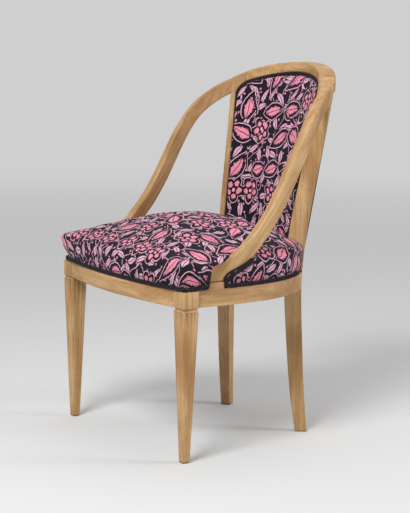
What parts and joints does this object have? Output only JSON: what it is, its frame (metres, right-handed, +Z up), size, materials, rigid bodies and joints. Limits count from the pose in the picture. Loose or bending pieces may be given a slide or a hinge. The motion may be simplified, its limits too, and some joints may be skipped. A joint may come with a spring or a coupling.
{
  "type": "gondola chair",
  "caption": "Beech gondola chair with a barrel back, swept open arms, fluted tapered front legs, sabre rear legs and a domed printed seat and back edged with dark gimp.",
  "frame": {"origin": "on the floor, in the middle of the chair's width and of its depth", "axes": "+X to the sitter's left, +Y to the back of the chair, +Z up"},
  "size_m": [0.5124, 0.5388, 0.83],
  "materials": {
    "beech": "bare wood with a thin wax",
    "steel": "zinc-plated screws",
    "webbing": "woven jute webbing",
    "hessian": "plain woven hessian",
    "stuffing": "hair and wadding",
    "printed_fabric": "cotton with a pink botanical print on a dark ground",
    "gimp": "black braid",
    "dust_cloth": "black calico"
  },
  "bodies": {
    "root": {"front_left_leg": "beech", "front_right_leg": "beech", "rear_left_post": "beech", "rear_right_post": "beech", "front_rail": "beech", "left_side_rail": "beech", "right_side_rail": "beech", "rear_rail": "beech", "crest_rail": "beech", "lower_back_rail": "beech", "left_arm": "beech", "right_arm": "beech", "arm_dowels": "beech", "crest_dowels": "beech", "front_left_corner_block": "beech", "front_right_corner_block": "beech", "rear_left_corner_block": "beech", "rear_right_corner_block": "beech", "corner_block_screws": "steel", "seat_webbing_crosswise": "webbing", "seat_webbing_lengthwise": "webbing", "back_webbing": "webbing", "seat_hessian": "hessian", "back_hessian": "hessian", "seat_stuffing": "stuffing", "back_stuffing": "stuffing", "seat_cover": "printed_fabric", "back_cover": "printed_fabric", "outside_back_cover": "printed_fabric", "seat_gimp": "gimp", "back_gimp": "gimp", "outside_back_gimp": "gimp", "seat_dust_cover": "dust_cloth"}
  },
  "joints": []
}
